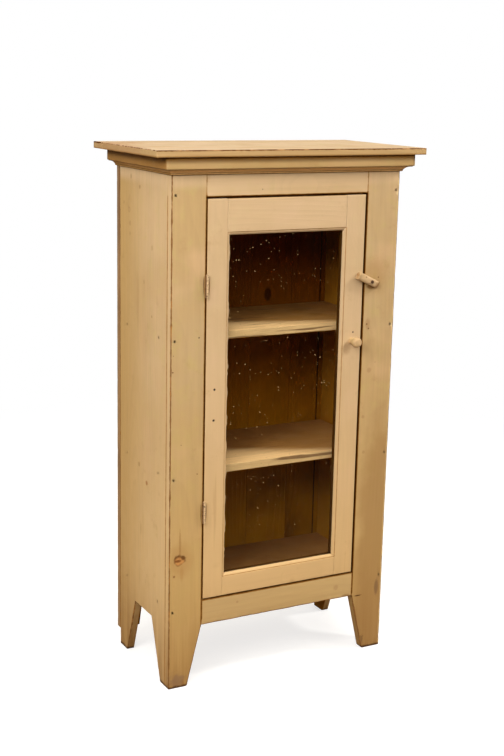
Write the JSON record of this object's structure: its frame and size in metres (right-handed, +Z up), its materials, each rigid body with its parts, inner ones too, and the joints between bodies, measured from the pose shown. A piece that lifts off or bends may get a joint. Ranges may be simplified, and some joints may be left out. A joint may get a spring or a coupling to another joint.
{
  "type": "display cupboard",
  "caption": "Free-standing painted wood display cupboard with a glazed hinged door, inner shelves, moulded cornice, overhanging top and tapered bracket feet.",
  "frame": {"origin": "on the floor under the middle of the top board, which is the bottom centre of the whole part's box", "axes": "+X to the right as the cupboard is faced, +Y to the back (the door faces -Y), +Z up"},
  "size_m": [0.714, 0.375, 1.298],
  "materials": {
    "painted_pine": "worn matt paint over pine",
    "painted_door": "worn matt paint over pine, a little paler",
    "bare_pine": "bare darkened pine",
    "shelf_pine": "bare pine with a worn front edge",
    "glass": "clear old glass with specks",
    "painted_iron": "iron under thick paint",
    "iron": "rusted iron"
  },
  "bodies": {
    "case": {"left_side": "painted_pine", "right_side": "painted_pine", "left_stile": "painted_pine", "right_stile": "painted_pine", "top_rail": "painted_pine", "bottom_rail": "painted_pine", "top_board": "painted_pine", "top_back_strip": "painted_pine", "cornice_front": "painted_pine", "cornice_left": "painted_pine", "cornice_right": "painted_pine", "case_floor": "shelf_pine", "lower_shelf": "shelf_pine", "upper_shelf": "shelf_pine", "top_back_cleat": "bare_pine", "back_board_1": "bare_pine", "back_board_2": "bare_pine", "back_board_3": "bare_pine", "back_board_4": "bare_pine", "back_board_5": "bare_pine", "hinge_frame_screws": "painted_iron", "upper_hinge_frame_leaf": "painted_iron", "lower_hinge_frame_leaf": "painted_iron", "upper_hinge_pin": "painted_iron", "lower_hinge_pin": "painted_iron", "button_screw": "painted_iron", "top_nails": "iron", "shelf_nails": "iron", "frame_nails": "iron", "back_nails": "iron", "cornice_nails": "iron"},
    "door": {"door_hinge_stile": "painted_door", "door_latch_stile": "painted_door", "door_top_rail": "painted_door", "door_bottom_rail": "painted_door", "glass_pane": "glass", "glazing_bead_left": "bare_pine", "glazing_bead_right": "bare_pine", "glazing_bead_top": "bare_pine", "glazing_bead_bottom": "bare_pine", "hinge_door_screws": "painted_iron", "knob": "painted_door", "upper_hinge_door_leaf": "painted_iron", "lower_hinge_door_leaf": "painted_iron"},
    "button": {"turn_button": "painted_door"}
  },
  "joints": [
    {"name": "door_swing", "type": "hinge", "parent": "case", "child": "door", "pos_m": [-0.21675, -0.1577, 0.714], "axis": [0, 0, -1], "range_deg": [0, 175]},
    {"name": "button_turn", "type": "hinge", "parent": "case", "child": "button", "pos_m": [0.228, -0.154, 0.975], "axis": [0, -1, 0], "continuous": true}
  ]
}
